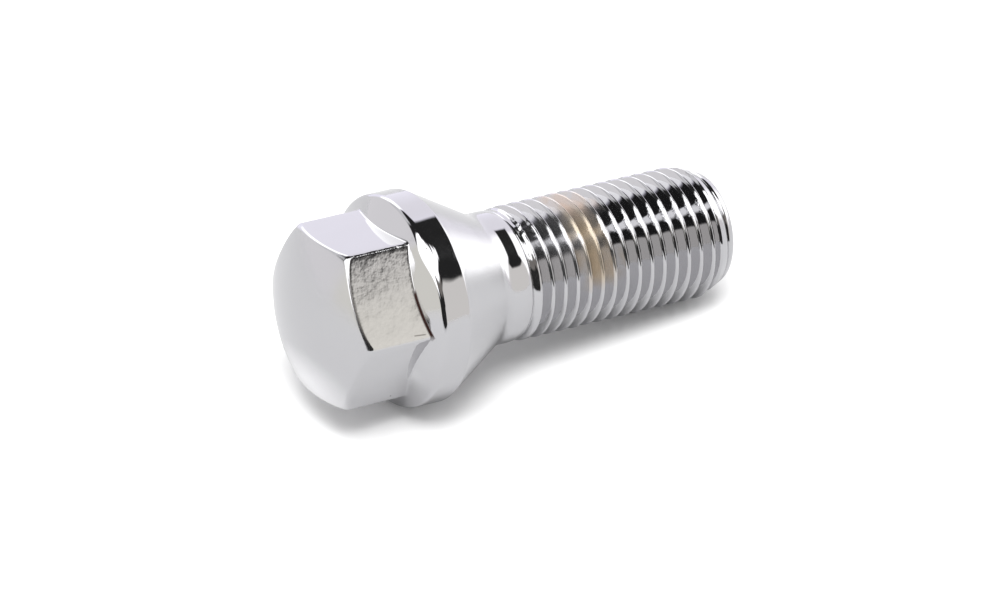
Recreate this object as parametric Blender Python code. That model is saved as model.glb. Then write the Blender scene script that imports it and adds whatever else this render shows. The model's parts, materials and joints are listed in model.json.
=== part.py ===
"""Wheel bolt, M14 x 1.5 x 28 with a 60 degree cone seat and a 17 mm domed hexagon head.

One forging: the blank is turned, the head is pressed to a domed hexagon, the thread is rolled into
the shank, and the whole bolt is chrome plated. It lies on the floor as a dropped bolt does, on the
rim of its collar and on the last thread. All lengths are in metres and +Z is up.

Stations along the bolt are measured on its own axis from the wide end of the cone seat, where the
collar ends. They grow towards the tip, and the head has negative stations.
"""

import math

import bmesh
import bpy
from mathutils import Vector

# Head
HEX_WIDTH = 0.0170
HEX_CORNER_ROUND = 0.0006
HEAD_HEIGHT = 0.0106
DOME_RADIUS = 0.0190
HEAD_TURN = math.radians(21.0)

# Collar and cone seat
COLLAR_DIAMETER = 0.0222
COLLAR_RIM_WIDTH = 0.0030
COLLAR_BEVEL_ANGLE = math.radians(30.0)
COLLAR_EDGE_ROUND = 0.0004
SEAT_ANGLE = math.radians(60.0)

# Shank, measured from the narrow end of the cone seat
SHANK_LENGTH = 0.0280
NECK_DIAMETER = 0.0138
NECK_LENGTH = 0.0019
NECK_FILLET = 0.0025
TIP_DIAMETER = 0.0116
TIP_CHAMFER_ANGLE = math.radians(22.0)
TIP_EDGE_ROUND = 0.0008

# Thread
THREAD_DIAMETER = 0.0140
THREAD_PITCH = 0.0015
THREAD_ANGLE = math.radians(60.0)
THREAD_DEPTH = 0.00092
CREST_LAND = THREAD_PITCH / 8
RUNOUT_TURNS = 1.7
THREAD_TURN = math.radians(36.0)

# Fineness of the round parts
ROUND_STEPS = 48
DOME_STEPS = 6
EDGE_STEPS = 3
CUTTER_MARGIN = 0.0001
MERGE_DISTANCE = 1e-7
SHARP_ANGLE = math.radians(20.0)

# Finish
PLATING_COLOUR = (0.78, 0.78, 0.80, 1.0)
PLATING_ROUGHNESS = 0.12

# Rounds of closing in on the angle at which the bolt lies
TILT_ROUNDS = 8

# Sizes that follow from the ones above
COLLAR_RADIUS = COLLAR_DIAMETER / 2
NECK_RADIUS = NECK_DIAMETER / 2
THREAD_RADIUS = THREAD_DIAMETER / 2
TIP_RADIUS = TIP_DIAMETER / 2
HEX_CORNER_RADIUS = HEX_WIDTH / math.sqrt(3)
COLLAR_FRONT = -COLLAR_RIM_WIDTH
CORE_RADIUS = HEX_WIDTH / 4
CORE_END = COLLAR_FRONT - (COLLAR_RADIUS - CORE_RADIUS) * math.tan(COLLAR_BEVEL_ANGLE)
HEX_FOOT = COLLAR_FRONT / 2
HEAD_TOP = COLLAR_FRONT - HEAD_HEIGHT
SEAT_END = (COLLAR_RADIUS - NECK_RADIUS) / math.tan(SEAT_ANGLE / 2)
THREAD_START = SEAT_END + NECK_LENGTH
THREAD_FULL = THREAD_START + RUNOUT_TURNS * THREAD_PITCH
TIP_END = SEAT_END + SHANK_LENGTH
CHAMFER_START = TIP_END - (THREAD_RADIUS - TIP_RADIUS) / math.tan(TIP_CHAMFER_ANGLE)


def rounded_outline(corners, steps):
    """Outline through (radius, station, rounding) corners, each rounding drawn as an arc.

    A rounding takes at most half of the shorter wall beside its corner.
    """
    outline = []
    for index, (x, z, rounding) in enumerate(corners):
        if rounding == 0:
            outline.append((x, z))
            continue
        in_x, in_z, in_length = wall_from(corners[index], corners[index - 1])
        out_x, out_z, out_length = wall_from(corners[index], corners[index + 1])
        half = math.acos(in_x * out_x + in_z * out_z) / 2
        reach = min(rounding / math.tan(half), in_length / 2, out_length / 2)
        radius = reach * math.tan(half)
        mid_length = math.hypot(in_x + out_x, in_z + out_z)
        centre_x = x + (in_x + out_x) / mid_length * radius / math.sin(half)
        centre_z = z + (in_z + out_z) / mid_length * radius / math.sin(half)
        first = math.atan2(z + in_z * reach - centre_z, x + in_x * reach - centre_x)
        last = math.atan2(z + out_z * reach - centre_z, x + out_x * reach - centre_x)
        sweep = math.remainder(last - first, math.tau)
        for step in range(steps + 1):
            angle = first + sweep * step / steps
            outline.append((centre_x + radius * math.cos(angle), centre_z + radius * math.sin(angle)))
    return outline


def wall_from(corner, other):
    """Direction and length of the wall that runs from one corner of an outline to another."""
    x = other[0] - corner[0]
    z = other[1] - corner[1]
    length = math.hypot(x, z)
    return x / length, z / length, length


def new_object(name, bm):
    """Turn a finished bmesh into an object with its faces pointing outwards."""
    bmesh.ops.recalc_face_normals(bm, faces=bm.faces)
    mesh = bpy.data.meshes.new(name)
    bm.to_mesh(mesh)
    bm.free()
    made = bpy.data.objects.new(name, mesh)
    bpy.context.scene.collection.objects.link(made)
    return made


def turned(name, outline):
    """Solid of revolution about the bolt's axis, with one flat facet facing local +X."""
    bm = bmesh.new()
    facet_edge = math.pi / ROUND_STEPS
    verts = [bm.verts.new((x * math.cos(facet_edge), x * math.sin(facet_edge), z)) for x, z in outline]
    edges = [bm.edges.new(pair) for pair in zip(verts, verts[1:])]
    bmesh.ops.spin(bm, geom=verts + edges, cent=(0, 0, 0), axis=(0, 0, 1), angle=math.tau,
                   steps=ROUND_STEPS, use_merge=True)
    bmesh.ops.remove_doubles(bm, verts=bm.verts, dist=MERGE_DISTANCE)
    return new_object(name, bm)


def make_tool(tool, parent):
    """Mark an object as a modelling tool of the bolt, drawn as wire and never rendered."""
    tool.parent = parent
    tool.hide_render = True
    tool.display_type = "WIRE"


def boolean(target, tool, operation):
    """Combine the tool with the target, live."""
    modifier = target.modifiers.new(tool.name, "BOOLEAN")
    modifier.operation = operation
    modifier.solver = "EXACT"
    modifier.object = tool


def bolt_blank():
    """Collar, cone seat, neck, shank and chamfered tip, turned as one body.

    The bevelled front of the collar runs on inwards under the hexagon, so the flats end on it in
    shallow arcs as they do on the forging.
    """
    corners = [
        (0, CORE_END, 0),
        (CORE_RADIUS, CORE_END, 0),
        (COLLAR_RADIUS, COLLAR_FRONT, COLLAR_EDGE_ROUND),
        (COLLAR_RADIUS, 0, COLLAR_EDGE_ROUND),
        (NECK_RADIUS, SEAT_END, NECK_FILLET),
        (NECK_RADIUS, THREAD_START, 0),
        (THREAD_RADIUS, THREAD_FULL, 0),
        (THREAD_RADIUS, CHAMFER_START, 0),
        (TIP_RADIUS, TIP_END, TIP_EDGE_ROUND),
        (0, TIP_END, 0),
    ]
    return turned("wheel_bolt", rounded_outline(corners, EDGE_STEPS))


def dome_form():
    """Round bar with a domed end: the shape that the hexagon keeps of it is the head's dome."""
    bar_radius = HEX_CORNER_RADIUS + HEX_CORNER_ROUND
    reach = math.asin(bar_radius / DOME_RADIUS)
    outline = []
    for step in range(DOME_STEPS + 1):
        angle = reach * step / DOME_STEPS
        outline.append((DOME_RADIUS * math.sin(angle), HEAD_TOP + DOME_RADIUS * (1 - math.cos(angle))))
    outline.append((bar_radius, 0))
    outline.append((0, 0))
    return turned("dome_form", outline)


def hexagon_bar():
    """Hexagon bar with rounded corners, from inside the collar to beyond the dome."""
    beyond = HEAD_TOP - HEX_CORNER_ROUND
    bm = bmesh.new()
    corners = []
    for corner in range(6):
        angle = HEAD_TURN + corner * math.tau / 6
        corners.append(bm.verts.new((HEX_CORNER_RADIUS * math.cos(angle),
                                     HEX_CORNER_RADIUS * math.sin(angle), HEX_FOOT)))
    bm.faces.new(corners)
    extruded = bmesh.ops.extrude_face_region(bm, geom=bm.faces[:])
    for item in extruded["geom"]:
        if isinstance(item, bmesh.types.BMVert):
            item.co.z = beyond
    corner_edges = [edge for edge in bm.edges if abs(edge.verts[0].co.z - edge.verts[1].co.z) > 0]
    bmesh.ops.bevel(bm, geom=corner_edges, offset=HEX_CORNER_ROUND * math.tan(math.pi / 6),
                    offset_type="OFFSET", segments=EDGE_STEPS, profile=0.5, affect="EDGES")
    return new_object("hexagon_bar", bm)


def thread_groove():
    """The thread's groove as one solid, lofted along its helix from the neck to past the tip.

    The section is a V with a flat root. Over the run-out turns it starts clear of the shank and
    sinks to full depth, so the groove fades in at the neck.
    """
    slope = math.tan(THREAD_ANGLE / 2)
    root_half = (THREAD_PITCH - CREST_LAND) / 2 - THREAD_DEPTH * slope
    mouth_half = (THREAD_PITCH - CREST_LAND) / 2 + CUTTER_MARGIN * slope
    root_radius = THREAD_RADIUS - THREAD_DEPTH
    mouth_radius = THREAD_RADIUS + CUTTER_MARGIN
    first_step = round((THREAD_START / THREAD_PITCH - THREAD_TURN / math.tau) * ROUND_STEPS)
    last_step = round(((TIP_END + THREAD_PITCH) / THREAD_PITCH - THREAD_TURN / math.tau) * ROUND_STEPS)
    runout_steps = RUNOUT_TURNS * ROUND_STEPS
    bm = bmesh.new()
    rings = []
    for step in range(first_step, last_step + 1):
        sunk = min(1.0, (step - first_step) / runout_steps)
        lift = (THREAD_DEPTH + CUTTER_MARGIN) * (1 - sunk)
        angle = math.tau * (step + 0.5) / ROUND_STEPS
        station = THREAD_PITCH * (angle + THREAD_TURN) / math.tau
        section = [
            (root_radius + lift, station - root_half),
            (mouth_radius + lift, station - mouth_half),
            (mouth_radius + lift, station + mouth_half),
            (root_radius + lift, station + root_half),
        ]
        rings.append([bm.verts.new((radius * math.cos(angle), radius * math.sin(angle), z))
                      for radius, z in section])
    for ring, next_ring in zip(rings, rings[1:]):
        for corner in range(4):
            following = (corner + 1) % 4
            bm.faces.new((ring[corner], ring[following], next_ring[following], next_ring[corner]))
    bm.faces.new(rings[0])
    bm.faces.new(rings[-1])
    return new_object("thread_groove", bm)


def chrome():
    """Bright chrome plating."""
    material = bpy.data.materials.new("bright_chrome")
    material.use_nodes = True
    shader = material.node_tree.nodes["Principled BSDF"]
    shader.inputs["Base Color"].default_value = PLATING_COLOUR
    shader.inputs["Metallic"].default_value = 1.0
    shader.inputs["Roughness"].default_value = PLATING_ROUGHNESS
    material.diffuse_color = PLATING_COLOUR
    return material


def lay_down(bolt):
    """Lay the bolt on the floor: on its collar's rim and on the last thread crest before the tip.

    Local +X, where the round parts have a facet, turns straight down, and the tip points to +X.
    Each round tilts the bolt onto the lowest points that its head and its shank had before it.
    """
    evaluated = bolt.evaluated_get(bpy.context.evaluated_depsgraph_get())
    points = [vert.co.copy() for vert in evaluated.to_mesh().vertices]
    evaluated.to_mesh_clear()
    tilt = 0.0
    for _ in range(TILT_ROUNDS):
        down = Vector((math.cos(tilt), 0, math.sin(tilt)))
        rim = max((point for point in points if point.z < SEAT_END), key=down.dot)
        crest = max((point for point in points if point.z > THREAD_START), key=down.dot)
        tilt = math.atan2(rim.x - crest.x, crest.z - rim.z)
    bolt.rotation_euler = (0, math.pi / 2 + tilt, 0)
    turn = bolt.rotation_euler.to_matrix()
    placed = [turn @ point for point in points]
    lows = [min(point[axis] for point in placed) for axis in range(3)]
    highs = [max(point[axis] for point in placed) for axis in range(3)]
    bolt.location = (-(lows[0] + highs[0]) / 2, -(lows[1] + highs[1]) / 2, -lows[2])


def build():
    """Make the bolt in an empty scene."""
    for old in list(bpy.data.objects):
        bpy.data.objects.remove(old, do_unlink=True)
    bolt = bolt_blank()
    head = hexagon_bar()
    dome = dome_form()
    groove = thread_groove()
    for tool in (head, dome, groove):
        make_tool(tool, bolt)
    boolean(head, dome, "INTERSECT")
    boolean(bolt, head, "UNION")
    boolean(bolt, groove, "DIFFERENCE")
    bolt.data.materials.append(chrome())
    for polygon in bolt.data.polygons:
        polygon.use_smooth = True
    bolt.data.set_sharp_from_angle(angle=SHARP_ANGLE)
    lay_down(bolt)


build()
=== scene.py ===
# %% [markdown]
# # A chrome wheel bolt on a white table
# The bolt holds a car's wheel to its hub. It is one forging: a domed hexagon for the wrench, a
# bevelled collar, a cone that centres the wheel, and a shank with a rolled thread. The whole of it is
# plated with bright chrome, so most of what the eye sees is the room that it mirrors.
#
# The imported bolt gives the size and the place. This file makes its fine surface, its finish and its
# light. It works in millimetres on the bolt's own axis, and one matrix lays the result on the floor.

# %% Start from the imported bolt
import json
import math

import bmesh
import bpy
from mathutils import Matrix, Vector, noise


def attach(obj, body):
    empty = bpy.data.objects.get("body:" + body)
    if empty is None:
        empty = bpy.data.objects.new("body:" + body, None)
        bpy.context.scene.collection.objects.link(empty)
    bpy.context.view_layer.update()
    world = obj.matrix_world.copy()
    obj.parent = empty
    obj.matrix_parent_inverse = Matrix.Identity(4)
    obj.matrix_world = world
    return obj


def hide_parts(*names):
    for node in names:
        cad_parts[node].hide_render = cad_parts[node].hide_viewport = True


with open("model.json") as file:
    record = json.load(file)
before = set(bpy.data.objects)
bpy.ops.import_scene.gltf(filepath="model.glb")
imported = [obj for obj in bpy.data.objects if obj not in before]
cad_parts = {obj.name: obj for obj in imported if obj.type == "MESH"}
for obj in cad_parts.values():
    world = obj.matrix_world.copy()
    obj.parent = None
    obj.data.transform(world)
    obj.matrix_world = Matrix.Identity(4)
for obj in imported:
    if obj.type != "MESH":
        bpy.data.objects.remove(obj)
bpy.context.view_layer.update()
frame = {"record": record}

# %% [markdown]
# # Where the bolt lies
# Everything here is turned about the bolt's axis, so the axis comes first. It could be typed in as a
# tilt and a height, but then it would go stale when the bolt changes. The record states the six wrench
# flats, each with its middle and its outward direction. The mean of the six middles is a point on the
# axis, and two neighbouring directions span the plane across it.

# %% Read the axis off the wrench flats
FLAT_MIDDLE = -8.0                       # station of the flats' middles; 0 is the wide end of the cone seat

flats = [mount for mount in frame["record"]["mounts"] if mount["name"].startswith("hex_flat")]
flat_centre = sum((Vector(mount["pos_m"]) for mount in flats), Vector()) / len(flats)
towards_tip = Vector(flats[0]["axis"]).cross(Vector(flats[1]["axis"])).normalized()
if towards_tip.x < 0:
    towards_tip = -towards_tip
straight_down = (Vector((0, 0, -1)) + towards_tip * towards_tip.z).normalized()
sideways = towards_tip.cross(straight_down)
print("the axis falls by", round(math.degrees(math.asin(-towards_tip.z)), 2), "degrees")

# %% One matrix from the bolt's own millimetres to the floor
turn = Matrix((straight_down, sideways, towards_tip)).transposed().to_4x4()
origin = flat_centre - towards_tip * FLAT_MIDDLE / 1000
lay_down = Matrix.Translation(origin) @ turn @ Matrix.Scale(0.001, 4)

flat_angle = math.atan2(Vector(flats[0]["axis"]).dot(sideways), Vector(flats[0]["axis"]).dot(straight_down))
HEAD_TURN = flat_angle - math.pi / 6     # angle of a hexagon corner from straight down
print("a corner lies", round(math.degrees(HEAD_TURN), 2), "degrees from straight down")

# %% Sizes of the bolt, in millimetres
HEX_WIDTH = 17.0
HEX_CORNER_ROUND = 0.6
DOME_RADIUS = 19.0
HEAD_HEIGHT = 10.6
COLLAR_RIM_WIDTH = 3.0
COLLAR_BEVEL = math.radians(30)
SEAT_HALF_ANGLE = math.radians(30)
SHANK_LENGTH = 28.0
NECK_LENGTH = 1.9
TIP_CHAMFER = math.radians(22)

SOLID_SIDES = 48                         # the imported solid's rings have flat sides, and lie on one
SIDE_INSET = math.cos(math.pi / SOLID_SIDES)
COLLAR_RADIUS = 11.1 * SIDE_INSET
NECK_RADIUS = 6.9 * SIDE_INSET
THREAD_RADIUS = 7.0 * SIDE_INSET
TIP_RADIUS = 5.8 * SIDE_INSET

COLLAR_FRONT = -COLLAR_RIM_WIDTH
HEAD_TOP = COLLAR_FRONT - HEAD_HEIGHT
SEAT_END = (COLLAR_RADIUS - NECK_RADIUS) / math.tan(SEAT_HALF_ANGLE)
TIP_END = SEAT_END + SHANK_LENGTH
print("stations: head", round(HEAD_TOP, 2), "| seat's end", round(SEAT_END, 2), "| tip", round(TIP_END, 2))

# %% [markdown]
# # The head and the collar
# A chrome edge is never sharp: the wire-thin bright and dark lines in a photograph are the room bent
# round a radius of a few tenths of a millimetre. A Bevel modifier could round the edges, but where a
# dome meets a hexagon the radius would vary, and the flats would pick up uneven shading. Here the skin
# is laid as rings of points from the dome to the neck. Each ring has the same number of points, and
# every edge gets its own small arc of rings. Straight walls end in a ring close to each arc, so the
# shading stays flat up to the edge.

# %% Columns of points: crowded at the hexagon's corners, even on the round parts
COLUMNS = 192
SECTOR = COLUMNS // 6
CORNER_STEPS = 4                         # steps on each half of a corner's arc
FLAT_CROWN = 0.025                       # a forged flat bulges a little in its middle

def towards(angle):
    """The direction at an angle from straight down, in the plane across the axis."""
    return Vector((math.cos(angle), math.sin(angle)))

def hexagon_columns():
    """The rounded hexagon's outline as (point, outward direction) in the plane across the axis."""
    columns = []
    half_width = HEX_WIDTH / 2
    arc_centre = (half_width - HEX_CORNER_ROUND) / math.cos(math.pi / 6)
    flat_steps = SECTOR - 2 * CORNER_STEPS
    half_flat = (half_width - HEX_CORNER_ROUND) * math.tan(math.pi / 6)
    for corner in range(6):
        corner_angle = HEAD_TURN + corner * math.tau / 6
        centre = arc_centre * towards(corner_angle)
        flat_out = towards(corner_angle + math.pi / 6)
        along = Vector((-flat_out.y, flat_out.x))
        for step in range(CORNER_STEPS):
            out = towards(corner_angle + math.pi / 6 * step / CORNER_STEPS)
            columns.append((centre + out * HEX_CORNER_ROUND, out))
        for step in range(flat_steps):
            share = 2 * step / flat_steps - 1
            bulge = FLAT_CROWN * (1 - share ** 4)
            columns.append((flat_out * (half_width + bulge) + along * half_flat * share, flat_out))
        next_angle = corner_angle + math.tau / 6
        next_centre = arc_centre * towards(next_angle)
        for step in range(CORNER_STEPS, 0, -1):
            out = towards(next_angle - math.pi / 6 * step / CORNER_STEPS)
            columns.append((next_centre + out * HEX_CORNER_ROUND, out))
    return columns

outline = hexagon_columns()
round_columns = [towards(HEAD_TURN + math.tau * column / COLUMNS) for column in range(COLUMNS)]
print("columns:", len(outline))

# %% [markdown]
# # Rounding an edge between two walls
# Seen in a cut through the axis, every edge is a corner between two straight walls. An arc that
# touches both starts at the same reach from the corner on each. One helper gives the points of such an
# arc. It serves convex edges, such as the rim's, and hollow ones, such as the hexagon's foot.

# %% Helper: the arc in a corner
def corner_arc(corner, wall_in, wall_out, radius, steps):
    """Points of an arc in a corner. The walls are unit vectors that point away from the corner."""
    half = math.acos(max(-1.0, min(1.0, wall_in.dot(wall_out)))) / 2
    reach = radius / math.tan(half)
    centre = corner + (wall_in + wall_out).normalized() * radius / math.sin(half)
    first = corner + wall_in * reach - centre
    last = corner + wall_out * reach - centre
    sweep = math.acos(max(-1.0, min(1.0, first.dot(last) / radius ** 2)))
    return [centre + (first * math.sin(sweep * (1 - step / steps)) + last * math.sin(sweep * step / steps))
            / math.sin(sweep) for step in range(steps + 1)]

# %% The dome, its rounded edge, the flats and the hexagon's foot
DOME_EDGE_ROUND = 0.35                   # at the middle of a flat
DOME_CORNER_ROUND = 1.0                  # at a corner of the hexagon
FOOT_FILLET = 0.2
DOME_RINGS = (0.06, 0.16, 0.28, 0.4, 0.52, 0.64, 0.75, 0.85, 0.93, 0.98)
FLAT_RINGS = (0.03, 0.2, 0.4, 0.6, 0.8, 0.97)
EDGE_STEPS = 6

def dome_height(radius):
    """Station of the dome at a distance from the axis."""
    return HEAD_TOP + DOME_RADIUS - math.sqrt(DOME_RADIUS ** 2 - radius ** 2)

def bevel_height(radius):
    """Station of the collar's bevelled front at a distance from the axis."""
    return COLLAR_FRONT - (COLLAR_RADIUS - radius) * math.tan(COLLAR_BEVEL)

def head_column(point, out):
    """Cuts through one column: the edge arc, the foot arc, each as (distance outwards, station)."""
    lean = point.normalized().dot(out)
    radius = point.length
    dome_slope = math.atan(lean * radius / math.sqrt(DOME_RADIUS ** 2 - radius ** 2))
    over_dome = Vector((-math.cos(dome_slope), -math.sin(dome_slope)))
    cornering = max(0.0, (radius / (HEX_WIDTH / 2) - 1) / (1 / math.cos(math.pi / 6) - 1)) ** 3
    rounding = DOME_EDGE_ROUND + (DOME_CORNER_ROUND - DOME_EDGE_ROUND) * cornering
    edge = corner_arc(Vector((0, dome_height(radius))), over_dome, Vector((0, 1)), rounding, EDGE_STEPS)
    bevel_slope = math.atan(lean * math.tan(COLLAR_BEVEL))
    over_bevel = Vector((math.cos(bevel_slope), math.sin(bevel_slope)))
    foot = corner_arc(Vector((0, bevel_height(radius))), Vector((0, -1)), over_bevel, FOOT_FILLET, EDGE_STEPS)
    return edge, foot

# %% Rings from the dome's middle to the hexagon's foot
def ring_at(cuts, index):
    """One ring from the same point of every column's cut."""
    return [Vector((*(point + out * cut[index].x), cut[index].y)) for (point, out), cut in zip(outline, cuts)]

head_cuts = [head_column(point, out) for point, out in outline]
edge_rings = [ring_at([cut[0] for cut in head_cuts], step) for step in range(EDGE_STEPS + 1)]
foot_rings = [ring_at([cut[1] for cut in head_cuts], step) for step in range(EDGE_STEPS + 1)]

dome_rings = []
for share in DOME_RINGS:
    ring = []
    for rim, round_out in zip(edge_rings[0], round_columns):
        flat_rim = rim.to_2d()
        spot = share * (round_out * HEX_WIDTH / 2).lerp(flat_rim, share ** 2)
        ring.append(Vector((*spot, dome_height(spot.length))))
    dome_rings.append(ring)
flat_rings = [[upper.lerp(lower, share) for upper, lower in zip(edge_rings[-1], foot_rings[0])]
              for share in FLAT_RINGS]
head_rings = dome_rings + edge_rings + flat_rings + foot_rings
print("rings on the head:", len(head_rings))

# %% [markdown]
# # Collar, cone seat and neck
# From the hexagon's foot outwards the bolt is round. A profile and a spin would make it, but the ring of
# points has to grow out of the hexagon without a step. The bevel's rings blend from the hexagon's
# columns to even ones, and every later ring is a circle. The profile is a list of corners with a
# radius at each, turned into points by the same arc helper.

# %% The profile of the round part
RIM_ROUND = 0.5                          # of the rim's front edge
RIM_SOFT_ROUND = 1.6                     # where that edge rolls over more softly
RIM_SOFT_AT = math.radians(213)
RIM_SOFT_SPREAD = math.radians(14)
COLLAR_EDGE_ROUND = 0.4
NECK_FILLET = 2.5
SHEET_START = SEAT_END + 1.1             # where the thread's sheet takes over, on the plain neck
WALL_SUPPORT = 0.04                      # share of a wall between its end and the ring beside it
BEVEL_RINGS = (0.05, 0.25, 0.5, 0.75, 0.95)
BEVEL_POINTS = 4                         # of the profile before the rim; the bevel's rings replace them

def profile_points(corners):
    """(radius, station) points through corners given as (radius, station, rounding)."""
    points = []
    for index, (radius, station, rounding) in enumerate(corners):
        corner = Vector((radius, station))
        if rounding == 0:
            points.append([corner])
            continue
        wall_in = (Vector(corners[index - 1][:2]) - corner).normalized()
        wall_out = (Vector(corners[index + 1][:2]) - corner).normalized()
        points.append(corner_arc(corner, wall_in, wall_out, rounding, EDGE_STEPS))
    line = list(points[0])
    for arc in points[1:]:
        start = line[-1]
        line += [start.lerp(arc[0], share) for share in (WALL_SUPPORT, 0.5, 1 - WALL_SUPPORT)]
        line += arc
    return line

def circle_ring(radius, station):
    """A ring with evenly spaced columns."""
    return [Vector((*(out * radius), station)) for out in round_columns]

def round_part(out):
    """Profile points of rim, seat and neck in one column, from the start of the rim's front edge."""
    off = out.angle(towards(RIM_SOFT_AT))
    front_round = RIM_ROUND + (RIM_SOFT_ROUND - RIM_ROUND) * math.exp(-(off / RIM_SOFT_SPREAD) ** 2)
    points = profile_points([
        (HEX_WIDTH / 2, bevel_height(HEX_WIDTH / 2), 0),
        (COLLAR_RADIUS, COLLAR_FRONT, front_round),
        (COLLAR_RADIUS, 0, COLLAR_EDGE_ROUND),
        (NECK_RADIUS, SEAT_END, NECK_FILLET),
        (NECK_RADIUS, SHEET_START, 0),
    ])
    return points[BEVEL_POINTS:]

profiles = [round_part(out) for out in round_columns]
bevel_rings = []
for share in BEVEL_RINGS:
    ring = []
    for foot, out, profile in zip(foot_rings[-1], round_columns, profiles):
        spot = foot.to_2d().lerp(out * profile[0].x, share)
        ring.append(Vector((*spot, bevel_height(spot.length))))
    bevel_rings.append(ring)
round_rings = [[Vector((*(out * point.x), point.y)) for out, point in zip(round_columns, points)]
               for points in zip(*profiles)]
collar_rings = bevel_rings + round_rings
print("rings from the collar to the neck:", len(collar_rings))

# %% [markdown]
# # The rolled thread
# A thread is one groove on a helix, so it is the piece that follows a rule. A Screw modifier can sweep a
# tooth, but it gives neither the run-out at the neck nor the chamfered start at the tip. Geometry Nodes
# suit it better. A flat grid is rolled round the axis. Its rows lie along the helix, so each crest and
# each root keeps its own rows and stays crisp. Rows that would pass the ends are held back on two plain
# rings, and merging by distance closes the wrap and removes what collapsed there.
#
# A rolled thread isn't a perfect V. Its root is a narrow arc, and just below the crest the flank leans
# back into a shoulder, because the metal never quite fills the die. The crests are worn rounder along one
# side, and the dies leave a shallow hollow beside the neck. Each of these is a height that depends on
# where a point lies. A smooth minimum joins them, so mirrored lines bend over the crests unbroken.

# %% Helpers: small wrappers for objects and trees
def add_object(name, data):
    """Puts a new object into the scene."""
    made = bpy.data.objects.new(name, data)
    bpy.context.scene.collection.objects.link(made)
    return made

def fill(tree, socket, value):
    """Links an input to a socket, or sets it to a plain value."""
    if isinstance(value, bpy.types.NodeSocket):
        tree.links.new(value, socket)
    else:
        socket.default_value = value

def add_node(tree, kind, settings=None, **inputs):
    """Adds a node, applies its settings and fills its inputs."""
    node = tree.nodes.new(kind)
    for name, value in (settings or {}).items():
        setattr(node, name, value)
    for name, value in inputs.items():
        fill(tree, node.inputs[name.replace("_", " ")], value)
    return node

def calc(tree, operation, *values):
    """The output of a Math node, from sockets or numbers."""
    node = tree.nodes.new("ShaderNodeMath")
    node.operation = operation
    for socket, value in zip(node.inputs, values):
        fill(tree, socket, value)
    return node.outputs[0]

def ramp(tree, value, start, end, low, high):
    """A clamped Map Range node. Gives its output."""
    node = tree.nodes.new("ShaderNodeMapRange")
    for socket, item in zip(node.inputs, (value, start, end, low, high)):
        fill(tree, socket, item)
    return node.outputs[0]

# %% Sizes of the thread
PITCH = 1.5
FLANK_ANGLE = math.radians(30)           # between a flank and the plane across the axis
ROOT_RADIUS = 0.04
CREST_LAND = PITCH / 8
RUNOUT_TURNS = 1.7
RUNOUT_CLEARANCE = 0.1                   # how far above the blank the V has risen at its first turn
THREAD_TURN = math.radians(36)
FIRST_TURN = 4                           # pitches from station 0 to the sheet's first groove
THREAD_START = SEAT_END + NECK_LENGTH
THREAD_FULL = THREAD_START + RUNOUT_TURNS * PITCH
SHEET_END = TIP_END - 0.5
ROOT_HALF = ROOT_RADIUS * math.cos(FLANK_ANGLE)
FLANK_TOP = (PITCH - CREST_LAND) / 2
THREAD_DEPTH = FLANK_TOP / math.tan(FLANK_ANGLE) - ROOT_RADIUS
CREST_HALF = CREST_LAND / 2
SHOULDER_LENGTH = 0.13                   # length of the rows that carry the shoulder
SHOULDER_BLEND = 0.05

# Rows on half a pitch, from the root's middle to the crest's middle: (rows, distance along the axis)
SUPPORT = 0.03
STRAIGHT = FLANK_TOP - ROOT_HALF - SHOULDER_LENGTH - 2 * SUPPORT
ROW_PLAN = ((2, ROOT_HALF), (1, SUPPORT), (2, STRAIGHT), (1, SUPPORT), (3, SHOULDER_LENGTH), (3, CREST_HALF))
HALF_ROWS = sum(rows for rows, _ in ROW_PLAN)
ROWS_PER_TURN = 2 * HALF_ROWS
plan_length = sum(length for _, length in ROW_PLAN)
print("rows on one pitch:", ROWS_PER_TURN, "| plan covers", round(plan_length, 4), "mm of", PITCH / 2)

# %% The thread's tree: the sizes that it is given
THREAD_INPUTS = {
    "Pitch": PITCH,
    "Thread Radius": THREAD_RADIUS,
    "Thread Depth": THREAD_DEPTH,
    "Root Radius": ROOT_RADIUS,
    "Neck Radius": NECK_RADIUS,
    "Tip Radius": TIP_RADIUS,
    "Thread Start": THREAD_START,
    "Thread Full": THREAD_FULL,
    "Sheet Start": SHEET_START,
    "Sheet End": SHEET_END,
    "Tip End": TIP_END,
    "First Groove": PITCH * ((HEAD_TURN + THREAD_TURN) / math.tau + FIRST_TURN),
    "Crest Blend": 0.12,                 # how softly a shoulder rolls over into its crest
    "Back Blend": 0.06,                  # the side of a crest that faces the tip is sharper by this
    "Shoulder Slope": 1.28,
    "Shoulder Start": PITCH / 2 - 0.06,  # where the shoulder's line would meet the crest
    "Wear Angle": math.radians(213.5),   # the side on which the crests are worn rounder
    "Wear Spread": math.radians(5),
    "Wear Full": THREAD_FULL + 2,
    "Wear Blend": 0.5,
    "Hollow Start": 9.05,                # the hollow between neck and thread
    "Hollow Floor": 10.45,
    "Hollow End": 10.85,
    "Hollow Depth": 0.20,
    "Lift Start": SHEET_END - 1.1,       # from here the groove gets shallower, to clear the last row
    "Lift At End": 0.25,
    "Chamfer Slope": math.tan(TIP_CHAMFER),
    "Chamfer Blend": 0.06,               # how softly the thread meets the tip's chamfer
    "Fade Start": SHEET_END - 0.6,       # from here that fades, so that the last row is a true circle
    "Turns": 20,
    "Columns": COLUMNS,
}
MERGE_DISTANCE = 0.0005

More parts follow.
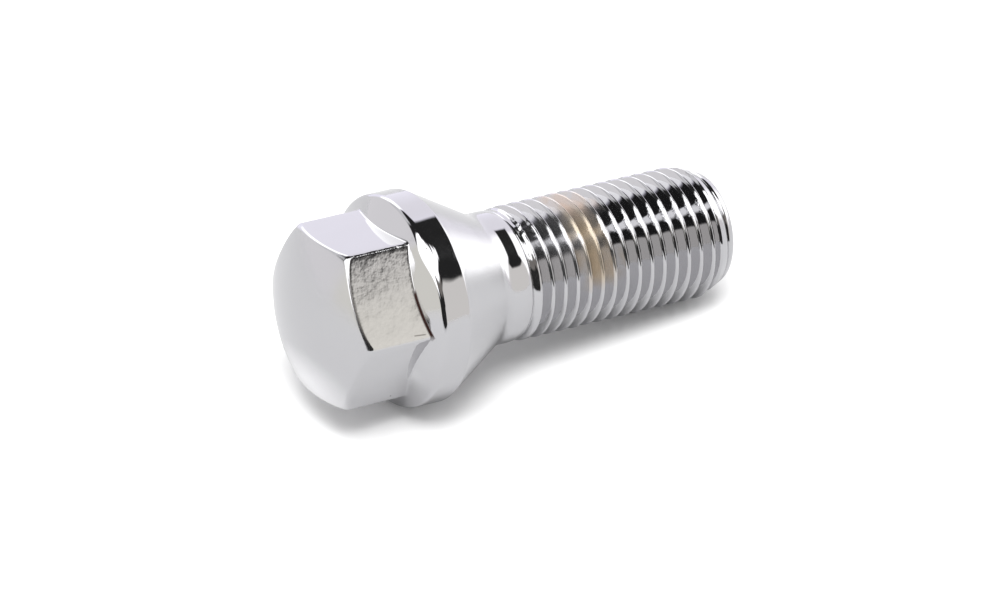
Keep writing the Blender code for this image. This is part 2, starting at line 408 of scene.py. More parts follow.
# %% The thread's tree: from grid to painted mesh
def thread_tree(material):
    """Geometry Nodes tree that rolls a grid into the thread's sheet."""
    tree = bpy.data.node_groups.new("rolled thread", "GeometryNodeTree")
    sockets = {}
    for name, value in THREAD_INPUTS.items():
        kind = "NodeSocketInt" if isinstance(value, int) else "NodeSocketFloat"
        made = tree.interface.new_socket(name, in_out="INPUT", socket_type=kind)
        made.default_value = value
        sockets[name] = made.identifier
    tree.interface.new_socket("Geometry", in_out="OUTPUT", socket_type="NodeSocketGeometry")
    given = tree.nodes.new("NodeGroupInput").outputs
    grid, row, column = thread_grid(tree, given)
    position = thread_position(tree, given, row, column)
    moved = add_node(tree, "GeometryNodeSetPosition", Geometry=grid, Position=position)
    merged = add_node(tree, "GeometryNodeMergeByDistance", Geometry=moved.outputs[0],
                      Distance=MERGE_DISTANCE)
    real = add_node(tree, "GeometryNodeRealizeInstances", Geometry=merged.outputs[0])
    painted = add_node(tree, "GeometryNodeSetMaterial", Geometry=real.outputs[0], Material=material)
    result = tree.nodes.new("NodeGroupOutput")
    tree.links.new(painted.outputs[0], result.inputs[0])
    return tree, sockets

# %% The thread's tree: a grid whose rows and columns are counted
def thread_grid(tree, given):
    """The flat grid, and each point's row and column as whole numbers."""
    rows = calc(tree, "MULTIPLY", given["Turns"], ROWS_PER_TURN)
    grid = add_node(tree, "GeometryNodeMeshGrid", Size_X=rows, Size_Y=given["Columns"],
                    Vertices_X=calc(tree, "ADD", rows, 1), Vertices_Y=calc(tree, "ADD", given["Columns"], 1))
    place = add_node(tree, "ShaderNodeSeparateXYZ",
                     Vector=tree.nodes.new("GeometryNodeInputPosition").outputs[0]).outputs
    row = calc(tree, "ROUND", calc(tree, "MULTIPLY_ADD", rows, 0.5, place["X"]))
    column = calc(tree, "ROUND", calc(tree, "MULTIPLY_ADD", given["Columns"], 0.5, place["Y"]))
    return grid.outputs["Mesh"], row, column

# %% The thread's tree: how far along the axis each row lies
def thread_position(tree, given, row, column):
    """Where a grid point goes: round the axis, along it, and out to the thread's surface."""
    in_turn = calc(tree, "MODULO", row, ROWS_PER_TURN)
    turns = calc(tree, "FLOOR", calc(tree, "DIVIDE", calc(tree, "ADD", row, 0.5), ROWS_PER_TURN))
    from_root = calc(tree, "MINIMUM", in_turn, calc(tree, "SUBTRACT", ROWS_PER_TURN, in_turn))
    past_crest = calc(tree, "GREATER_THAN", in_turn, HALF_ROWS + 0.5)
    done = ROW_PLAN[0][0]
    root_angle = ramp(tree, from_root, 0, done, 0, math.pi / 2 - FLANK_ANGLE)
    offset = calc(tree, "MULTIPLY", calc(tree, "SINE", root_angle), given["Root Radius"])
    for rows, length in ROW_PLAN[1:]:
        offset = calc(tree, "ADD", offset, ramp(tree, from_root, done, done + rows, 0, length))
        done += rows
    side = calc(tree, "MULTIPLY_ADD", past_crest, -2, 1)
    round_share = calc(tree, "DIVIDE", column, given["Columns"])
    helix = calc(tree, "ADD", calc(tree, "ADD", turns, past_crest), round_share)
    groove = calc(tree, "MULTIPLY_ADD", helix, given["Pitch"], given["First Groove"])
    free = calc(tree, "MULTIPLY_ADD", offset, side, groove)
    station = calc(tree, "MINIMUM", calc(tree, "MAXIMUM", free, given["Sheet Start"]), given["Sheet End"])
    angle = calc(tree, "MULTIPLY_ADD", round_share, math.tau, HEAD_TURN)
    radius = thread_radius(tree, given, offset, groove, station, angle, side)
    return add_node(tree, "ShaderNodeCombineXYZ",
                    X=calc(tree, "MULTIPLY", radius, calc(tree, "COSINE", angle)),
                    Y=calc(tree, "MULTIPLY", radius, calc(tree, "SINE", angle)), Z=station).outputs[0]

# %% The thread's tree: the rolled V over its root
ARC_END = 1e-6                           # a point this far past the root's arc counts as on the flank

def groove_height(tree, given, offset):
    """Height above the bottom of the groove: the root's arc, the straight flank, then the shoulder."""
    root_radius = given["Root Radius"]
    arc_left = calc(tree, "SUBTRACT", calc(tree, "POWER", root_radius, 2), calc(tree, "POWER", offset, 2))
    arc = calc(tree, "SUBTRACT", root_radius, calc(tree, "SQRT", calc(tree, "MAXIMUM", 0, arc_left)))
    root_half = calc(tree, "MULTIPLY", root_radius, math.cos(FLANK_ANGLE))
    past_root = calc(tree, "MAXIMUM", 0, calc(tree, "SUBTRACT", offset, root_half))
    flank_foot = calc(tree, "MULTIPLY", root_radius, 1 - math.sin(FLANK_ANGLE))
    flank = calc(tree, "MULTIPLY_ADD", past_root, 1 / math.tan(FLANK_ANGLE), flank_foot)
    on_arc = calc(tree, "LESS_THAN", past_root, ARC_END)
    on_flank = calc(tree, "GREATER_THAN", past_root, ARC_END)
    height = calc(tree, "ADD", calc(tree, "MULTIPLY", arc, on_arc), calc(tree, "MULTIPLY", flank, on_flank))
    from_shoulder = calc(tree, "SUBTRACT", offset, given["Shoulder Start"])
    shoulder = calc(tree, "MULTIPLY_ADD", from_shoulder, given["Shoulder Slope"], given["Thread Depth"])
    return calc(tree, "SMOOTH_MIN", height, shoulder, SHOULDER_BLEND)

# %% The thread's tree: how softly a crest rolls over
def crest_softness(tree, given, station, angle, side):
    """Wide on the worn side, narrow towards the tip, and none on the sheet's first row."""
    off_wear = calc(tree, "DIVIDE", calc(tree, "SUBTRACT", angle, given["Wear Angle"]), given["Wear Spread"])
    wear = calc(tree, "EXPONENT", calc(tree, "MULTIPLY", calc(tree, "MULTIPLY", off_wear, off_wear), -1))
    wear = calc(tree, "MULTIPLY", wear, ramp(tree, station, given["Thread Full"], given["Wear Full"], 0, 1))
    sharper = calc(tree, "MULTIPLY", calc(tree, "LESS_THAN", side, 0), given["Back Blend"])
    unworn = calc(tree, "SUBTRACT", given["Crest Blend"], sharper)
    full = calc(tree, "MULTIPLY_ADD", wear, given["Wear Blend"], unworn)
    return ramp(tree, station, given["Sheet Start"], given["Thread Start"], 0, full)

# %% The thread's tree: how far out each row lies
def thread_radius(tree, given, offset, groove, station, angle, side):
    """Distance from the axis: the rolled V, clipped by the blank and by the tip's chamfer."""
    sunk = ramp(tree, groove, given["Thread Start"], given["Thread Full"], 0, 1)
    lift = calc(tree, "MULTIPLY", calc(tree, "SUBTRACT", 1, sunk),
                calc(tree, "ADD", given["Thread Depth"], RUNOUT_CLEARANCE))
    end_lift = ramp(tree, station, given["Lift Start"], given["Sheet End"], 0, given["Lift At End"])
    root = calc(tree, "SUBTRACT", given["Thread Radius"], given["Thread Depth"])
    rolled = calc(tree, "ADD", root, calc(tree, "ADD", groove_height(tree, given, offset),
                                          calc(tree, "ADD", lift, end_lift)))
    blank = ramp(tree, station, given["Thread Start"], given["Thread Full"],
                 given["Neck Radius"], given["Thread Radius"])
    hollow_in = ramp(tree, station, given["Hollow Start"], given["Hollow Floor"], 0, given["Hollow Depth"])
    hollow_out = ramp(tree, station, given["Hollow Floor"], given["Hollow End"], 0, given["Hollow Depth"])
    for wall in (hollow_in, hollow_out):
        wall.node.interpolation_type = "SMOOTHSTEP"
    blank = calc(tree, "SUBTRACT", blank, calc(tree, "SUBTRACT", hollow_in, hollow_out))
    shaped = calc(tree, "SMOOTH_MIN", rolled, blank, crest_softness(tree, given, station, angle, side))
    chamfer = calc(tree, "MULTIPLY_ADD", calc(tree, "SUBTRACT", given["Tip End"], station),
                   given["Chamfer Slope"], given["Tip Radius"])
    softness = ramp(tree, station, given["Fade Start"], given["Sheet End"], given["Chamfer Blend"], 0)
    return calc(tree, "SMOOTH_MIN", shaped, chamfer, softness)

# %% Roll the thread's sheet
chrome = bpy.data.materials.new("bright chrome")
thread_carrier = add_object("thread_sheet", bpy.data.meshes.new("thread_sheet"))
roll = thread_carrier.modifiers.new("roll", "NODES")
thread_nodes, thread_sockets = thread_tree(chrome)
roll.node_group = thread_nodes
for name, value in THREAD_INPUTS.items():
    roll[thread_sockets[name]] = value
evaluated = thread_carrier.evaluated_get(bpy.context.evaluated_depsgraph_get())
thread_mesh = bpy.data.meshes.new_from_object(evaluated)
bpy.data.objects.remove(thread_carrier)
print("thread sheet:", len(thread_mesh.vertices), "points")

# %% [markdown]
# # One closed skin
# The head's rings, the thread's sheet and the tip's rings meet on two plain circles with the same
# columns. They are welded there into one closed mesh, as the forging is one piece. A boolean union
# would also join them, but it would cut slivers into the surface, and chrome shows every sliver.

# %% The tip's rings
TIP_EDGE_ROUND = 0.8
TIP_FACE_RINGS = (0.7, 0.4, 0.12)
WELD_DISTANCE = 0.001

sheet_end_radius = TIP_RADIUS + (TIP_END - SHEET_END) * math.tan(TIP_CHAMFER)
tip_corner = Vector((TIP_RADIUS, TIP_END))
down_chamfer = Vector((math.tan(TIP_CHAMFER), -1)).normalized()
tip_arc = corner_arc(tip_corner, down_chamfer, Vector((-1, 0)), TIP_EDGE_ROUND, EDGE_STEPS)
tip_rings = [circle_ring(sheet_end_radius, SHEET_END)]
tip_rings += [circle_ring(point.x, point.y) for point in tip_arc if point.y > SHEET_END + WELD_DISTANCE]
tip_rings += [circle_ring(tip_arc[-1].x * share, TIP_END) for share in TIP_FACE_RINGS]
print("rings on the tip:", len(tip_rings))

# %% Weld the skin
def add_rings(bm, rings):
    """Joins each ring to the next with four-sided faces. Gives the first and last ring's points."""
    laid = [[bm.verts.new(point) for point in ring] for ring in rings]
    for ring, following in zip(laid, laid[1:]):
        for column in range(COLUMNS):
            beside = (column + 1) % COLUMNS
            bm.faces.new((ring[column], ring[beside], following[beside], following[column]))
    return laid[0], laid[-1]

def close_pole(bm, ring, station):
    """Closes a ring with a fan of triangles about a point on the axis."""
    pole = bm.verts.new((0, 0, station))
    for column in range(COLUMNS):
        bm.faces.new((ring[column], ring[(column + 1) % COLUMNS], pole))

skin = bmesh.new()
skin.from_mesh(thread_mesh)
first_ring, _ = add_rings(skin, head_rings + collar_rings)
close_pole(skin, first_ring, HEAD_TOP)
_, last_ring = add_rings(skin, tip_rings)
close_pole(skin, last_ring, TIP_END)
bmesh.ops.remove_doubles(skin, verts=skin.verts, dist=WELD_DISTANCE)
bmesh.ops.triangulate(skin, faces=[face for face in skin.faces if len(face.verts) > 4])
bmesh.ops.recalc_face_normals(skin, faces=skin.faces)

# %% [markdown]
# # Dents and a burr
# Loose bolts knock against each other, so the crests carry small dents, and where the thread runs out
# the dies tore up a burr. A bump in the material could suggest them, but on chrome that looks painted
# on. Here the points of the skin are moved. Every dent is a place, a reach and a depth, and fades to
# nothing at its reach. The burr is a wider one whose depth is noise.

# %% Dents on the crests and a burr where the thread runs out
DINGS = (                                # station, angle in degrees, reach, depth
    (27.1, 206, 0.55, 0.07), (27.3, 219, 0.5, 0.06), (31.3, 211, 0.55, 0.06), (32.7, 172, 0.6, 0.08),
    (32.8, 161, 0.5, 0.07), (32.8, 182, 0.5, 0.06), (24.2, 208, 0.5, 0.05), (22.6, 214, 0.45, 0.05),
    (29.8, 222, 0.5, 0.05), (29.0, 203, 0.45, 0.05), (25.6, 224, 0.45, 0.04), (14.6, 200, 0.5, 0.05),
)
BURR = (11.2, 195, 1.6, 0.30)            # station, angle, reach, height of the torn metal
BURR_GRAIN = 2.2                         # lumps on one millimetre

def spot_on_thread(station, angle):
    """A point on the crests at a station and an angle in degrees."""
    return Vector((*(towards(math.radians(angle)) * THREAD_RADIUS), station))

def push(bm, middle, reach, depth):
    """Moves the points near a middle outwards; depth gives the distance from a point's place."""
    moved = 0
    for vert in bm.verts:
        gap = (vert.co - middle).length
        if gap < reach:
            fall = (1 - (gap / reach) ** 2) ** 2
            vert.co += Vector((vert.co.x, vert.co.y, 0)).normalized() * fall * depth(vert.co)
            moved += 1
    return moved

dented = sum(push(skin, spot_on_thread(station, angle), reach, lambda place: -depth)
             for station, angle, reach, depth in DINGS)
torn = push(skin, spot_on_thread(*BURR[:2]), BURR[2],
            lambda place: BURR[3] * noise.noise(place * BURR_GRAIN))
print("points dented:", dented, "| points in the burr:", torn)

# %% Measure the skin and lay it down
open_edges = [edge for edge in skin.edges if len(edge.link_faces) != 2]
print("open edges:", len(open_edges), "| volume:", round(skin.calc_volume(), 1), "mm3",
      "| triangles:", sum(len(face.verts) - 2 for face in skin.faces))
skin.transform(lay_down)

# %% The bolt's skin becomes a piece
skin_mesh = bpy.data.meshes.new("bolt_skin")
skin.to_mesh(skin_mesh)
skin.free()
bpy.data.meshes.remove(thread_mesh)
skin_mesh.shade_smooth()
skin_mesh.materials.clear()              # puts the sheet's faces back on the first slot
skin_mesh.materials.append(chrome)
bolt = add_object("bolt_skin", skin_mesh)
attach(bolt, "root")
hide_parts("wheel_bolt")
print("faces in the piece:", len(skin_mesh.polygons))

# %% [markdown]
# # Bright chrome, and what use has left on it
# Plating copies the forging below it, so the finish changes from place to place. The dome and the seat
# are a little satin, the wrench flats have the fine lumps of orange peel, and the crests are dotted
# where other bolts knocked them. A brown film lies across a few turns of the thread, and rust has crept
# out of the crevice at the foot of one flat. A painted picture could hold all that, but it would need an
# unwrapped surface. Here the material works out where it is on the bolt, in millimetres, and each mark is
# a range of stations and angles with noise in its edge.

# %% Where a point lies on the bolt
chrome.use_nodes = True
surface = chrome.node_tree
shader = surface.nodes["Principled BSDF"]
to_bolt, turn_back, stretch = lay_down.inverted().decompose()
on_bolt = add_node(surface, "ShaderNodeMapping", Location=to_bolt, Rotation=turn_back.to_euler(),
                   Scale=stretch, Vector=surface.nodes.new("ShaderNodeTexCoord").outputs["Object"]).outputs[0]
place = add_node(surface, "ShaderNodeSeparateXYZ", Vector=on_bolt).outputs
station = place["Z"]
from_axis = calc(surface, "SQRT", calc(surface, "ADD", calc(surface, "POWER", place["X"], 2),
                                       calc(surface, "POWER", place["Y"], 2)))
turned = calc(surface, "DEGREES", calc(surface, "ARCTAN2", place["Y"], place["X"]))
around = calc(surface, "WRAP", turned, 360, 0)
off_flat = calc(surface, "WRAP", calc(surface, "SUBTRACT", around, math.degrees(HEAD_TURN) + 30), 30, -30)
hex_out = calc(surface, "MULTIPLY", from_axis, calc(surface, "COSINE", calc(surface, "RADIANS", off_flat)))

# %% Helpers: a soft range, noise, a sum of products, and a mix of colours
def band(tree, value, low, high, soft):
    """1 where a value lies between low and high, falling to 0 over a soft edge."""
    return calc(tree, "MULTIPLY", ramp(tree, value, low - soft / 2, low + soft / 2, 0, 1),
                ramp(tree, value, high - soft / 2, high + soft / 2, 1, 0))

def grain(tree, scale, detail=2, roughness=0.5, offset=0):
    """Noise of a number of lumps on one millimetre, from about -0.5 to 0.5."""
    shift = add_node(tree, "ShaderNodeVectorMath", {"operation": "ADD"})
    fill(tree, shift.inputs[0], on_bolt)
    fill(tree, shift.inputs[1], (offset, offset, offset))
    lumps = add_node(tree, "ShaderNodeTexNoise", Vector=shift.outputs[0], Scale=scale, Detail=detail,
                     Roughness=roughness)
    return calc(tree, "SUBTRACT", lumps.outputs[0], 0.5)

def product(tree, *values):
    """The product of any number of sockets and numbers."""
    total = values[0]
    for value in values[1:]:
        total = calc(tree, "MULTIPLY", total, value)
    return total

def total_of(tree, *values):
    """The sum of any number of sockets and numbers."""
    total = values[0]
    for value in values[1:]:
        total = calc(tree, "ADD", total, value)
    return total

def blend(tree, factor, first, second):
    """A mix of two colours, each a socket or a triple."""
    mix = tree.nodes.new("ShaderNodeMix")
    mix.data_type = "RGBA"
    for socket, value in zip((mix.inputs[0], mix.inputs[6], mix.inputs[7]), (factor, first, second)):
        fill(tree, socket, (*value, 1) if isinstance(value, tuple) else value)
    return mix.outputs[2]

# %% Where the zones lie: stations and distances in millimetres, angles in degrees from straight down
DOME_DEPTH = (0.03, 0.25)                # below the dome's sphere, where its satin ends
SEAT_STATIONS = (0.35, 7.75)
RIM_STATIONS = (-2.9, -0.2)
FLAT_OUT = (8.42, 8.56)                  # distance of a wrench flat from the axis
WORN_SIDE = (201.5, 260.5)               # the flat that wrenches have worn
WORN_FOOT = (-3.6, -3.3)
CORNER_OFF = (28.3, 29.0)                # angle from a flat's middle at which its corner starts
CORNER_FOOT = (-3.8, -3.4)
CORNER_OUT = (9.3, 9.4)
CREVICE_HEIGHT = (0.10, 0.26)            # above the bevel, where dirt and rust collect
CREVICE_OUT = (8.64, 8.76)
CREVICE_FOOT = (-3.3, -3.1)
CREST_OUT = (6.4, 6.65)
CREST_STATIONS = (11, 12)
ROUGH_TOP = (206, 242)                   # the worn flat is roughest at its upper edge

# %% Zones of the bolt
dome_station = calc(surface, "SUBTRACT", HEAD_TOP + DOME_RADIUS, calc(surface, "SQRT", calc(
    surface, "SUBTRACT", DOME_RADIUS ** 2, calc(surface, "POWER", from_axis, 2))))
on_dome = ramp(surface, calc(surface, "SUBTRACT", station, dome_station), *DOME_DEPTH, 1, 0)
off_dome = calc(surface, "SUBTRACT", 1, on_dome)
on_seat = band(surface, station, *SEAT_STATIONS, 0.5)
on_rim = band(surface, station, *RIM_STATIONS, 0.4)
worn_flat = product(surface, band(surface, hex_out, *FLAT_OUT, 0.05), off_dome,
                    band(surface, around, *WORN_SIDE, 2), ramp(surface, station, *WORN_FOOT, 1, 0))
towards_top = ramp(surface, around, *ROUGH_TOP, 1, 0)
on_corner = product(surface, ramp(surface, calc(surface, "ABSOLUTE", off_flat), *CORNER_OFF, 0, 1), off_dome,
                    ramp(surface, station, *CORNER_FOOT, 1, 0), ramp(surface, from_axis, *CORNER_OUT, 0, 1))
bevel_station = calc(surface, "MULTIPLY_ADD", from_axis, math.tan(COLLAR_BEVEL),
                     COLLAR_FRONT - COLLAR_RADIUS * math.tan(COLLAR_BEVEL))
above_bevel = calc(surface, "SUBTRACT", bevel_station, station)
in_crevice = product(surface, ramp(surface, above_bevel, *CREVICE_HEIGHT, 1, 0),
                     ramp(surface, hex_out, *CREVICE_OUT, 1, 0), ramp(surface, station, *CREVICE_FOOT, 1, 0))
on_crests = product(surface, ramp(surface, from_axis, *CREST_OUT, 0, 1),
                    ramp(surface, station, *CREST_STATIONS, 0, 1))

# %% Lumps of the plating, as heights in millimetres
WAVE_HEIGHT = 0.04
WAVE_ON_RIM = 0.05
PLATING_PEEL = 0.0006
WORN_PEEL = 0.009
WORN_PEEL_AT_TOP = 0.010
BEAD_HEIGHT = 0.04
KNOCK_HEIGHT = 0.05
KNOCKED_SIDE = (205, 222)
KNOCKED_STATIONS = (13, 26)              # the knocks grow from half to full height

knocked = product(surface, on_crests, band(surface, around, *KNOCKED_SIDE, 6),
                  ramp(surface, station, *KNOCKED_STATIONS, 0.5, 1))
wave_height = total_of(surface, WAVE_HEIGHT, product(surface, on_rim, WAVE_ON_RIM))
waves = product(surface, grain(surface, 0.26, 1), wave_height)
worn_peel = total_of(surface, WORN_PEEL, product(surface, towards_top, WORN_PEEL_AT_TOP))
peel_height = total_of(surface, PLATING_PEEL, product(surface, worn_flat, worn_peel))
peel = product(surface, grain(surface, 1.2, 2, 0.55), peel_height)
beads = product(surface, grain(surface, 1.5, 1, 0.6, 7), on_corner, BEAD_HEIGHT)
knocks = product(surface, grain(surface, 2.6, 2, 0.6, 3), knocked, KNOCK_HEIGHT)
lumps = add_node(surface, "ShaderNodeBump", Height=total_of(surface, waves, peel, beads, knocks))
lumps.inputs["Distance"].default_value = 0.001
surface.links.new(lumps.outputs[0], shader.inputs["Normal"])

# %% Marks: film on the thread, rust in the crevice, pits with painted shade, and specks
FILM_STATIONS = (16.5, 19.6)
FILM_SIDE = (150, 262)
HAZE_STATIONS = (11.5, 19.5)
HAZE_SIDE = (140, 250)
RUST_SIDE = (229, 262)
SCRATCH_STATIONS = (-5.7, -4.4)
SCRATCH_SIDE = (260.3, 260.9)
SPECK_SIZE = (0.035, 0.06)
SPECKLESS = 0.7                          # share of the cells that hold no speck

film_edge = product(surface, grain(surface, 0.35, 3, 0.5, 11), 5)
film_station = total_of(surface, station, film_edge)
film = product(surface, band(surface, film_station, *FILM_STATIONS, 1.8),
               band(surface, around, *FILM_SIDE, 14))
haze = product(surface, band(surface, film_station, *HAZE_STATIONS, 3),
               band(surface, around, *HAZE_SIDE, 20))
rust_edge = total_of(surface, around, product(surface, film_edge, 4))
rust = product(surface, in_crevice, band(surface, rust_edge, *RUST_SIDE, 6))
# The pits are real, but their dark colour is painted shade: a pit mirrors darker parts of the room
shaded_pits = product(surface, worn_flat, ramp(surface, grain(surface, 2.1, 4, 0.6, 5), -0.2, 0.0, 1, 0))
aslant = total_of(surface, around, product(surface, station, -0.5))
scratch = product(surface, worn_flat, band(surface, station, *SCRATCH_STATIONS, 0.2),
                  band(surface, aslant, *SCRATCH_SIDE, 0.5))
dots = add_node(surface, "ShaderNodeTexVoronoi", Vector=on_bolt, Scale=0.55)
speck_pick = add_node(surface, "ShaderNodeSeparateColor", Color=dots.outputs["Color"]).outputs[0]
specks = product(surface, ramp(surface, dots.outputs["Distance"], *SPECK_SIZE, 1, 0),
                 calc(surface, "GREATER_THAN", speck_pick, SPECKLESS), ramp(surface, station, 8, 9, 1, 0))

# %% Colour, shine and metal of the finish
PLATING = (0.53, 0.528, 0.542)
BARED = (0.64, 0.635, 0.62)              # the foot of the worn flat, rubbed brighter
FILM = (0.49, 0.42, 0.335)
FILM_ON_TOP = (0.53, 0.46, 0.42)
FILM_TURNS = (175, 205)                  # the angles between which the film changes colour
RUST = (0.03, 0.010, 0.007)
# The dark colour of the scratch and the specks, also used as painted shade in the pits
DIRT_AND_PIT_SHADE = (0.16, 0.15, 0.14)
PLATING_ROUGHNESS = 0.05
clouds = grain(surface, 0.8, 3, 0.5, 9)
rougher = ((on_dome, 0.16), (on_seat, 0.11), (film, 0.10), (haze, 0.08), (rust, 0.3), (worn_flat, 0.07),
           (clouds, 0.03))
less_metallic = ((film, 0.22), (rust, 0.5), (haze, 0.03), (specks, 0.5))

film_paint = blend(surface, ramp(surface, around, *FILM_TURNS, 0, 1), FILM_ON_TOP, FILM)
bared = product(surface, worn_flat, calc(surface, "MULTIPLY_ADD", towards_top, -0.8, 1))
paint = blend(surface, film, blend(surface, bared, PLATING, BARED), film_paint)
# The pits get painted shade, darker towards the flat's upper edge; the scratch and the specks get their own
# dark colour
pit_shade_strength = total_of(surface, 0.06, product(surface, towards_top, 0.19))
for dark_mark, strength in ((shaded_pits, pit_shade_strength), (scratch, 0.8), (specks, 0.8)):
    paint = blend(surface, product(surface, dark_mark, strength), paint, DIRT_AND_PIT_SHADE)
paint = blend(surface, rust, paint, RUST)
shine = total_of(surface, PLATING_ROUGHNESS, *[product(surface, zone, share) for zone, share in rougher])
dulled = total_of(surface, *[product(surface, zone, share) for zone, share in less_metallic])
surface.links.new(paint, shader.inputs["Base Color"])
surface.links.new(shine, shader.inputs["Roughness"])
surface.links.new(calc(surface, "SUBTRACT", 1, dulled), shader.inputs["Metallic"])
print("nodes in the chrome:", len(surface.nodes))

# %% [markdown]
# # The table
# The photograph shows a white table, exposed so far that it has no texture left. A sheet lit to that
# level would burn out in the chrome too. So the table is bleached for the camera and plain white paint
# for the chrome. The light that the flats throw on it before the dome shows only in the mirror image.

# %% Floor
TABLE = (0.66, 0.66, 0.665)              # as the chrome sees it
TABLE_GLINT = (1.0, 1.0, 1.0)            # light that the flats throw on it
TABLE_BLEACHED = (0.97, 0.97, 0.97)      # as the camera sees it
GLINT_PLACE = (-0.023, 0.003, 0)
GLINT_REACH = (0.003, 0.011)
TABLE_FADE = (0.12, 0.6)

floor_mesh = bpy.data.meshes.new("floor")
floor_mesh.from_pydata([(-3, -3, 0), (3, -3, 0), (3, 3, 0), (-3, 3, 0)], [], [(0, 1, 2, 3)])
floor = add_object("floor", floor_mesh)

floor_paint = bpy.data.materials.new("white table")
floor_paint.use_nodes = True
table = floor_paint.node_tree
matt = table.nodes["Principled BSDF"]
matt.inputs["Roughness"].default_value = 0.8
matt.inputs["Specular IOR Level"].default_value = 0.2
on_table = table.nodes.new("ShaderNodeTexCoord").outputs["Object"]
from_glint = add_node(table, "ShaderNodeVectorMath", {"operation": "DISTANCE"})
from_glint.inputs[1].default_value = GLINT_PLACE
from_middle = add_node(table, "ShaderNodeVectorMath", {"operation": "LENGTH"})
for measure in (from_glint, from_middle):
    table.links.new(on_table, measure.inputs[0])
glint = ramp(table, from_glint.outputs["Value"], *GLINT_REACH, 1, 0)
for_camera = table.nodes.new("ShaderNodeLightPath").outputs["Is Camera Ray"]
table_seen = blend(table, for_camera, blend(table, glint, TABLE, TABLE_GLINT), TABLE_BLEACHED)
table.links.new(table_seen, matt.inputs["Base Color"])
edge_mix = table.nodes.new("ShaderNodeMixShader")
table.links.new(ramp(table, from_middle.outputs["Value"], *TABLE_FADE, 0, 1), edge_mix.inputs[0])
table.links.new(matt.outputs[0], edge_mix.inputs[1])
table.links.new(table.nodes.new("ShaderNodeBsdfTransparent").outputs[0], edge_mix.inputs[2])
table.links.new(edge_mix.outputs[0], table.nodes["Material Output"].inputs["Surface"])
floor_mesh.materials.append(floor_paint)

# %% [markdown]
# # The camera
# It could be placed by eye, but the mirrored lines move with every degree. These values come from
# fitting the bolt's edges to those in the photograph: a long lens, well away and above the head.

# %% Camera
CAMERA_AZIMUTH = math.radians(-30.948)
CAMERA_ELEVATION = math.radians(35.708)
CAMERA_ROLL = math.radians(-0.394)
CAMERA_DISTANCE = 0.71446
CAMERA_LENS = 252.0
AIM = Vector((-0.001633, -0.001337, 0.008236))

towards_camera = Vector((math.sin(CAMERA_AZIMUTH) * math.cos(CAMERA_ELEVATION),
                         -math.cos(CAMERA_AZIMUTH) * math.cos(CAMERA_ELEVATION), math.sin(CAMERA_ELEVATION)))
camera_data = bpy.data.cameras.new("camera")
camera_data.lens = CAMERA_LENS
camera_data.sensor_width = 36.0
camera_data.clip_start = 0.01
camera_data.clip_end = 20.0
camera = add_object("camera", camera_data)
camera.matrix_world = (Matrix.Translation(AIM + towards_camera * CAMERA_DISTANCE)
                       @ (-towards_camera).to_track_quat("-Z", "Y").to_matrix().to_4x4()
                       @ Matrix.Rotation(CAMERA_ROLL, 4, "Z"))
bpy.context.scene.camera = camera
print("camera:", round(CAMERA_DISTANCE, 3), "m away")

# %% [markdown]
# # The room that the chrome mirrors
# Chrome has almost no colour of its own. It shows the room, so the room is modelled as carefully as the
# bolt. A photographer would hang softboxes and black flags round a white table. They could be built as
# glowing cards, but then each card also lights the floor and the balance is hard to keep. Here the room
# is painted on the sky: each panel has a compass range, a height range and a soft edge. Azimuth 0 looks
# towards -Y and 90 towards +X, where the tip points.

# %% Helper: one soft-edged panel on the sky
def panel_mask(tree, azimuth, elevation, azimuths, elevations, softness):
    """1 inside a range of directions, falling to 0 over its soft edge."""
    middle = sum(azimuths) / 2
    half = (azimuths[1] - azimuths[0]) / 2
    off = calc(tree, "ABSOLUTE", calc(tree, "WRAP", calc(tree, "SUBTRACT", azimuth, middle), 180, -180))
    across = ramp(tree, off, half + softness / 2, half - softness / 2, 0, 1)
    return calc(tree, "MULTIPLY", across, band(tree, elevation, *elevations, softness))

# %% The panels of the room
CEILING = (0.03, 0.03, 0.03)
PANELS = (                               # name, azimuths, elevations, softness, light
    ("back wall", (120, 200), (-90, 48), 6, (1.40, 1.37, 1.53)),
    ("back softbox", (154, 205), (15, 46), 5, (2.4, 2.4, 2.4)),
    ("left wall", (195, 250), (-90, 21), 4, (1.13, 1.11, 1.13)),
    ("left fore wall", (247, 282), (-90, 21), 4, (1.09, 1.07, 0.99)),
    ("upper left wall", (195, 235), (21, 48), 6, (0.98, 0.98, 1.00)),
    ("left softbox", (252, 300), (20, 75), 5, (2.5, 2.5, 2.5)),
    ("front softbox", (285, 380), (48, 80), 5, (2.5, 2.5, 2.5)),
    ("dim front", (300, 390), (32, 47), 5, (0.29, 0.27, 0.25)),
    ("right fore wall", (24, 58), (-90, 33), 3, (1.04, 1.01, 0.97)),
    ("foot of the fore wall", (14, 30), (-90, 15), 3, (1.04, 1.01, 0.97)),
    ("right softbox", (58, 120), (-90, 60), 5, (2.2, 2.2, 2.2)),
    ("right back wall", (112, 150), (-90, 46), 12, (1.28, 1.25, 1.34)),
    ("low shelf", (50, 83), (-90, 6), 5, (1.04, 1.01, 1.03)),
    ("high fore softbox", (14, 64), (55, 72), 4, (2.2, 2.2, 2.2)),
)

world = bpy.data.worlds.new("room")
world.use_nodes = True
room = world.node_tree
sky = room.nodes.new("ShaderNodeTexCoord").outputs["Generated"]
direction = add_node(room, "ShaderNodeSeparateXYZ", Vector=sky).outputs
away = calc(room, "MULTIPLY", direction["Y"], -1)
azimuth = calc(room, "DEGREES", calc(room, "ARCTAN2", direction["X"], away))
elevation = calc(room, "DEGREES", calc(room, "ARCSINE", direction["Z"]))
glow = CEILING
for name, azimuths, elevations, softness, light in PANELS:
    mask = panel_mask(room, azimuth, elevation, azimuths, elevations, softness)
    glow = blend(room, mask, glow, light)
    glow.node.label = name
print("panels in the room:", len(PANELS))

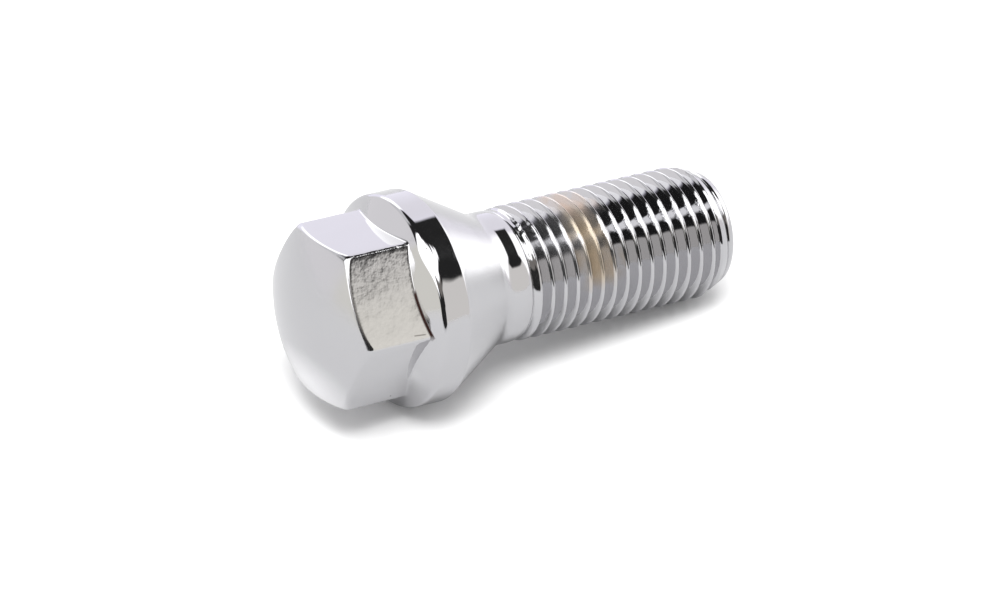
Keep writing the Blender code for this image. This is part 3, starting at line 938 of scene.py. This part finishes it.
# %% [markdown]
# # The flag, and who sees the room
# The black bands on neck, rim and thread mirror a black flag hung along the bolt, so its edge is an
# angle from the tip's direction. A panel's straight edge would look bent on the shank. A gap in the flag
# gives the bright crossing on every flank and the notch in the rim's black patch. The matt table gets
# one even light in place of the room, so the panels can change without touching it.

# %% A black flag hung over the bolt, parallel to its axis
FLAG_ANGLE = 58.0                        # angle from the tip's direction at which the flag starts
FLAG_SOFT = 1.5
FLAG_AZIMUTHS = (34, 126)
FLAG_LOW = 34.0
GAP_ANGLE = 63.0                         # where the gap starts; the rim and the neck mirror 61.5
GAP_SOFT = 0.5
GAP_AZIMUTHS = (22, 75)
GAP_ELEVATIONS = (46, 74)
BACKDROP = (1.2, 1.2, 1.2)               # what the camera itself sees behind the table
AMBIENT = (0.72, 0.72, 0.72)             # what the matt table gets from the room

along_tip = add_node(room, "ShaderNodeVectorMath", {"operation": "DOT_PRODUCT"})
room.links.new(sky, along_tip.inputs[0])
along_tip.inputs[1].default_value = towards_tip
from_tip = calc(room, "DEGREES", calc(room, "ARCCOSINE", along_tip.outputs["Value"]))
flag = calc(room, "MULTIPLY", panel_mask(room, azimuth, elevation, FLAG_AZIMUTHS, (FLAG_LOW, 90), 4),
            ramp(room, from_tip, FLAG_ANGLE - FLAG_SOFT, FLAG_ANGLE + FLAG_SOFT, 0, 1))
gap = calc(room, "MULTIPLY", panel_mask(room, azimuth, elevation, GAP_AZIMUTHS, GAP_ELEVATIONS, 3),
           ramp(room, from_tip, GAP_ANGLE - GAP_SOFT, GAP_ANGLE + GAP_SOFT, 0, 1))
flag = calc(room, "MULTIPLY", flag, calc(room, "SUBTRACT", 1, gap))
path = room.nodes.new("ShaderNodeLightPath").outputs
seen = blend(room, flag, glow, CEILING)
seen = blend(room, path["Is Diffuse Ray"], seen, AMBIENT)
seen = blend(room, path["Is Camera Ray"], seen, BACKDROP)
room.links.new(seen, room.nodes["Background"].inputs["Color"])
bpy.context.scene.world = world
bpy.context.scene.view_settings.view_transform = "Standard"

# %% One broad lamp that the chrome doesn't mirror
lamp_data = bpy.data.lights.new("broad lamp", "AREA")
lamp_data.shape = "RECTANGLE"
lamp_data.size = 0.6
lamp_data.size_y = 0.55
lamp_data.energy = 10.4
lamp = add_object("broad lamp", lamp_data)
lamp_place = Vector((-0.19, -0.28, 0.94))
lamp.matrix_world = Matrix.Translation(lamp_place) @ lamp_place.to_track_quat("Z", "Y").to_matrix().to_4x4()
lamp.visible_glossy = False
lamp.visible_camera = False
